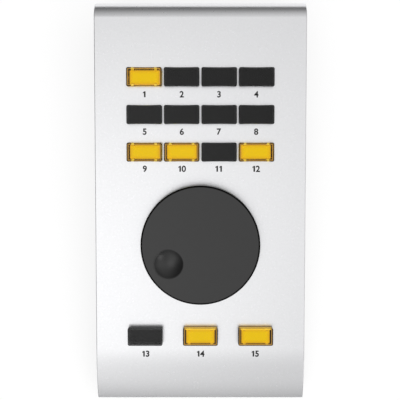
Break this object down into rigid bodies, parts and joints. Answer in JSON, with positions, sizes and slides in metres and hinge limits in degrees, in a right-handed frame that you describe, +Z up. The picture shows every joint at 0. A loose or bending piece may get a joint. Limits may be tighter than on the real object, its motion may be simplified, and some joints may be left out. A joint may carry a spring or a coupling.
{
  "type": "studio monitor controller",
  "caption": "Desktop audio controller: sloping metal housing with lit push keys in rows, one large rotary dial with a finger dish, and rear sockets.",
  "frame": {"origin": "centre of the bounding box on the plane under the rubber feet", "axes": "+Z up, +X to the user's right, +Y to the rear where the sockets are; the deck rises 6 degrees towards +Y"},
  "size_m": [0.108, 0.2048, 0.0376],
  "materials": {
    "cover_metal": "fine bead-blasted silver anodised sheet",
    "base_paint": "black powder-coated die casting",
    "foot_rubber": "matt black rubber",
    "dial_moulding": "satin dark grey moulding",
    "cap_clear": "clear smoke-tinted cap",
    "plunger_amber_lit": "amber light guide, lit",
    "plunger_dark": "dark amber light guide, unlit",
    "black_moulding": "black moulded plastic",
    "socket_moulding": "white moulded plastic",
    "board_laminate": "green solder mask on glass laminate",
    "lamp_epoxy": "clear amber lamp package",
    "dome_steel": "spring steel",
    "nickel_plate": "nickel plate",
    "zinc_steel": "zinc-plated steel",
    "black_steel": "black oxide steel",
    "contact_gold": "gold flash on brass",
    "ribbon_film": "white film cable"
  },
  "bodies": {
    "housing": {"top_cover": "cover_metal", "base_shell": "base_paint", "rubber_feet": "foot_rubber", "switch_frames": "black_moulding", "key_domes": "dome_steel", "key_lamps": "lamp_epoxy", "key_board": "board_laminate", "board_spacers": "nickel_plate", "case_screws": "black_steel", "board_screws": "zinc_steel", "control_chip": "black_moulding", "encoder_body": "black_moulding", "encoder_bushing": "nickel_plate", "encoder_washer": "nickel_plate", "encoder_nut": "nickel_plate", "connector_board": "board_laminate", "connector_screws": "zinc_steel", "usb_shell": "nickel_plate", "usb_insulator": "socket_moulding", "usb_contacts": "contact_gold", "jack_body": "black_moulding", "jack_nut": "nickel_plate", "ribbon_sockets": "socket_moulding", "ribbon_cable": "ribbon_film"},
    "dial": {"dial": "dial_moulding", "dial_clip": "dome_steel", "encoder_shaft": "nickel_plate"},
    "key_01": {"key_cap_01": "cap_clear", "key_plunger_01": "plunger_amber_lit"},
    "key_02": {"key_cap_02": "cap_clear", "key_plunger_02": "plunger_dark"},
    "key_03": {"key_cap_03": "cap_clear", "key_plunger_03": "plunger_dark"},
    "key_04": {"key_cap_04": "cap_clear", "key_plunger_04": "plunger_dark"},
    "key_05": {"key_cap_05": "cap_clear", "key_plunger_05": "plunger_dark"},
    "key_06": {"key_cap_06": "cap_clear", "key_plunger_06": "plunger_dark"},
    "key_07": {"key_cap_07": "cap_clear", "key_plunger_07": "plunger_dark"},
    "key_08": {"key_cap_08": "cap_clear", "key_plunger_08": "plunger_dark"},
    "key_09": {"key_cap_09": "cap_clear", "key_plunger_09": "plunger_amber_lit"},
    "key_10": {"key_cap_10": "cap_clear", "key_plunger_10": "plunger_amber_lit"},
    "key_11": {"key_cap_11": "cap_clear", "key_plunger_11": "plunger_dark"},
    "key_12": {"key_cap_12": "cap_clear", "key_plunger_12": "plunger_amber_lit"},
    "key_13": {"key_cap_13": "cap_clear", "key_plunger_13": "plunger_dark"},
    "key_14": {"key_cap_14": "cap_clear", "key_plunger_14": "plunger_amber_lit"},
    "key_15": {"key_cap_15": "cap_clear", "key_plunger_15": "plunger_amber_lit"}
  },
  "joints": [
    {"name": "dial_turn", "type": "hinge", "parent": "housing", "child": "dial", "pos_m": [0, -0.02063, 0.02333], "axis": [0, -0.1045, 0.9945], "continuous": true},
    {"name": "key_01_press", "type": "slide", "parent": "housing", "child": "key_01", "axis": [0, 0.1045, -0.9945], "range_m": [0, 0.0012], "stiffness_N_per_m": 400, "springref_m": -0.0006, "deforming": ["key_domes"]},
    {"name": "key_02_press", "type": "slide", "parent": "housing", "child": "key_02", "axis": [0, 0.1045, -0.9945], "range_m": [0, 0.0012], "stiffness_N_per_m": 400, "springref_m": -0.0006, "deforming": ["key_domes"]},
    {"name": "key_03_press", "type": "slide", "parent": "housing", "child": "key_03", "axis": [0, 0.1045, -0.9945], "range_m": [0, 0.0012], "stiffness_N_per_m": 400, "springref_m": -0.0006, "deforming": ["key_domes"]},
    {"name": "key_04_press", "type": "slide", "parent": "housing", "child": "key_04", "axis": [0, 0.1045, -0.9945], "range_m": [0, 0.0012], "stiffness_N_per_m": 400, "springref_m": -0.0006, "deforming": ["key_domes"]},
    {"name": "key_05_press", "type": "slide", "parent": "housing", "child": "key_05", "axis": [0, 0.1045, -0.9945], "range_m": [0, 0.0012], "stiffness_N_per_m": 400, "springref_m": -0.0006, "deforming": ["key_domes"]},
    {"name": "key_06_press", "type": "slide", "parent": "housing", "child": "key_06", "axis": [0, 0.1045, -0.9945], "range_m": [0, 0.0012], "stiffness_N_per_m": 400, "springref_m": -0.0006, "deforming": ["key_domes"]},
    {"name": "key_07_press", "type": "slide", "parent": "housing", "child": "key_07", "axis": [0, 0.1045, -0.9945], "range_m": [0, 0.0012], "stiffness_N_per_m": 400, "springref_m": -0.0006, "deforming": ["key_domes"]},
    {"name": "key_08_press", "type": "slide", "parent": "housing", "child": "key_08", "axis": [0, 0.1045, -0.9945], "range_m": [0, 0.0012], "stiffness_N_per_m": 400, "springref_m": -0.0006, "deforming": ["key_domes"]},
    {"name": "key_09_press", "type": "slide", "parent": "housing", "child": "key_09", "axis": [0, 0.1045, -0.9945], "range_m": [0, 0.0012], "stiffness_N_per_m": 400, "springref_m": -0.0006, "deforming": ["key_domes"]},
    {"name": "key_10_press", "type": "slide", "parent": "housing", "child": "key_10", "axis": [0, 0.1045, -0.9945], "range_m": [0, 0.0012], "stiffness_N_per_m": 400, "springref_m": -0.0006, "deforming": ["key_domes"]},
    {"name": "key_11_press", "type": "slide", "parent": "housing", "child": "key_11", "axis": [0, 0.1045, -0.9945], "range_m": [0, 0.0012], "stiffness_N_per_m": 400, "springref_m": -0.0006, "deforming": ["key_domes"]},
    {"name": "key_12_press", "type": "slide", "parent": "housing", "child": "key_12", "axis": [0, 0.1045, -0.9945], "range_m": [0, 0.0012], "stiffness_N_per_m": 400, "springref_m": -0.0006, "deforming": ["key_domes"]},
    {"name": "key_13_press", "type": "slide", "parent": "housing", "child": "key_13", "axis": [0, 0.1045, -0.9945], "range_m": [0, 0.0012], "stiffness_N_per_m": 400, "springref_m": -0.0006, "deforming": ["key_domes"]},
    {"name": "key_14_press", "type": "slide", "parent": "housing", "child": "key_14", "axis": [0, 0.1045, -0.9945], "range_m": [0, 0.0012], "stiffness_N_per_m": 400, "springref_m": -0.0006, "deforming": ["key_domes"]},
    {"name": "key_15_press", "type": "slide", "parent": "housing", "child": "key_15", "axis": [0, 0.1045, -0.9945], "range_m": [0, 0.0012], "stiffness_N_per_m": 400, "springref_m": -0.0006, "deforming": ["key_domes"]}
  ]
}
